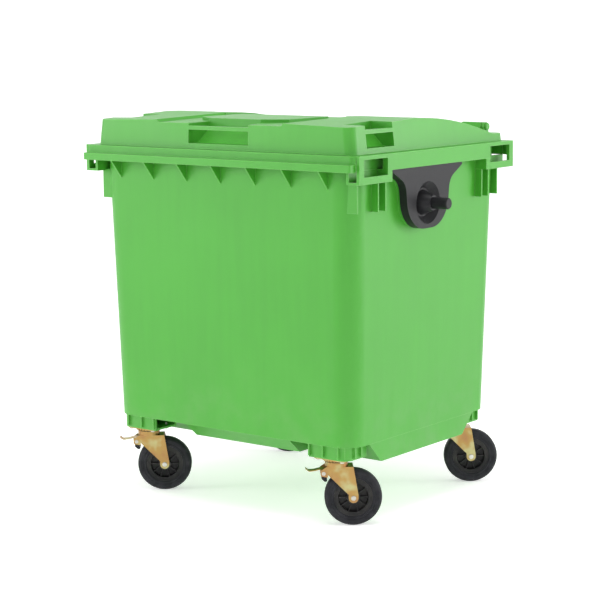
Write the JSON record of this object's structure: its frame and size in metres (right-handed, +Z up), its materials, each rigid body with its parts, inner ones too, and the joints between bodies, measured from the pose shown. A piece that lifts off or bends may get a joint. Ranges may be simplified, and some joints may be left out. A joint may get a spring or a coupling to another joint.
{
  "type": "wheeled waste container",
  "caption": "Rectangular wheeled waste container with a hinged curved lid, a comb lip, side trunnion pins, corner pocket frames and swivel castors with foot brakes.",
  "frame": {"origin": "on the ground under the middle of the container", "axes": "+X along the length to the right-hand trunnion pin, -Y to the front where the lid's grip is, +Z up"},
  "size_m": [1.378, 1.052, 1.396],
  "materials": {
    "green_plastic": "satin, finely grained moulded polyethylene",
    "dark_plastic": "satin moulded polyethylene",
    "dark_steel": "satin black coating",
    "yellow_zinc": "yellow passivated zinc",
    "plain_zinc": "zinc plated",
    "black_plastic": "satin moulded polypropylene",
    "bush_plastic": "natural nylon",
    "tyre_rubber": "matt solid rubber",
    "brake_rubber": "matt",
    "seal_rubber": "matt"
  },
  "bodies": {
    "container": {"container_body": "green_plastic", "trunnion_plate_left": "dark_plastic", "trunnion_plate_right": "dark_plastic", "trunnion_pin_left": "dark_steel", "trunnion_pin_right": "dark_steel", "trunnion_bolts": "plain_zinc", "hinge_pins": "green_plastic", "castor_screws": "plain_zinc", "castor_plate_front_left": "yellow_zinc", "kingpin_front_left": "plain_zinc", "lock_ring_front_left": "yellow_zinc", "castor_plate_front_right": "yellow_zinc", "kingpin_front_right": "plain_zinc", "lock_ring_front_right": "yellow_zinc", "castor_plate_rear_left": "yellow_zinc", "kingpin_rear_left": "plain_zinc", "castor_plate_rear_right": "yellow_zinc", "kingpin_rear_right": "plain_zinc"},
    "lid": {"lid_shell": "green_plastic"},
    "drain": {"drain_plug": "dark_plastic", "drain_seal": "seal_rubber"},
    "swivel_front_left": {"fork_front_left": "yellow_zinc", "swivel_bearing_front_left": "plain_zinc", "axle_front_left": "plain_zinc", "axle_nut_front_left": "plain_zinc", "brake_pin_front_left": "plain_zinc"},
    "wheel_front_left": {"wheel_centre_front_left": "black_plastic", "tyre_front_left": "tyre_rubber", "wheel_bush_front_left": "bush_plastic"},
    "brake_front_left": {"brake_pedal_front_left": "yellow_zinc", "brake_shoe_front_left": "brake_rubber"},
    "swivel_front_right": {"fork_front_right": "yellow_zinc", "swivel_bearing_front_right": "plain_zinc", "axle_front_right": "plain_zinc", "axle_nut_front_right": "plain_zinc", "brake_pin_front_right": "plain_zinc"},
    "wheel_front_right": {"wheel_centre_front_right": "black_plastic", "tyre_front_right": "tyre_rubber", "wheel_bush_front_right": "bush_plastic"},
    "brake_front_right": {"brake_pedal_front_right": "yellow_zinc", "brake_shoe_front_right": "brake_rubber"},
    "swivel_rear_left": {"fork_rear_left": "yellow_zinc", "swivel_bearing_rear_left": "plain_zinc", "axle_rear_left": "plain_zinc", "axle_nut_rear_left": "plain_zinc"},
    "wheel_rear_left": {"wheel_centre_rear_left": "black_plastic", "tyre_rear_left": "tyre_rubber", "wheel_bush_rear_left": "bush_plastic"},
    "swivel_rear_right": {"fork_rear_right": "yellow_zinc", "swivel_bearing_rear_right": "plain_zinc", "axle_rear_right": "plain_zinc", "axle_nut_rear_right": "plain_zinc"},
    "wheel_rear_right": {"wheel_centre_rear_right": "black_plastic", "tyre_rear_right": "tyre_rubber", "wheel_bush_rear_right": "bush_plastic"}
  },
  "joints": [
    {"name": "lid_hinge", "type": "hinge", "parent": "container", "child": "lid", "pos_m": [0, 0.51, 1.336], "axis": [-1, 0, 0], "range_deg": [0, 265]},
    {"name": "drain_plug_turn", "type": "hinge", "parent": "container", "child": "drain", "pos_m": [0, -0.12, 0.215], "axis": [0, 0, 1], "range_deg": [0, 90]},
    {"name": "swivel_front_left", "type": "hinge", "parent": "container", "child": "swivel_front_left", "pos_m": [-0.432, -0.382, 0.24], "axis": [0, 0, 1], "continuous": true},
    {"name": "wheel_spin_front_left", "type": "hinge", "parent": "swivel_front_left", "child": "wheel_front_left", "pos_m": [-0.38673, -0.34574, 0.1], "axis": [0.6252, -0.7804, 0], "continuous": true},
    {"name": "brake_pedal_front_left", "type": "hinge", "parent": "swivel_front_left", "child": "brake_front_left", "pos_m": [-0.46712, -0.41014, 0.188], "axis": [0.6252, -0.7804, 0], "range_deg": [0, 14]},
    {"name": "swivel_front_right", "type": "hinge", "parent": "container", "child": "swivel_front_right", "pos_m": [0.432, -0.382, 0.24], "axis": [0, 0, 1], "continuous": true},
    {"name": "wheel_spin_front_right", "type": "hinge", "parent": "swivel_front_right", "child": "wheel_front_right", "pos_m": [0.47726, -0.34574, 0.1], "axis": [0.6252, -0.7804, 0], "continuous": true},
    {"name": "brake_pedal_front_right", "type": "hinge", "parent": "swivel_front_right", "child": "brake_front_right", "pos_m": [0.39688, -0.41014, 0.188], "axis": [0.6252, -0.7804, 0], "range_deg": [0, 14]},
    {"name": "swivel_rear_left", "type": "hinge", "parent": "container", "child": "swivel_rear_left", "pos_m": [-0.432, 0.382, 0.24], "axis": [0, 0, 1], "continuous": true},
    {"name": "wheel_spin_rear_left", "type": "hinge", "parent": "swivel_rear_left", "child": "wheel_rear_left", "pos_m": [-0.38673, 0.41826, 0.1], "axis": [0.6252, -0.7804, 0], "continuous": true},
    {"name": "swivel_rear_right", "type": "hinge", "parent": "container", "child": "swivel_rear_right", "pos_m": [0.432, 0.382, 0.24], "axis": [0, 0, 1], "continuous": true},
    {"name": "wheel_spin_rear_right", "type": "hinge", "parent": "swivel_rear_right", "child": "wheel_rear_right", "pos_m": [0.47726, 0.41826, 0.1], "axis": [0.6252, -0.7804, 0], "continuous": true}
  ]
}
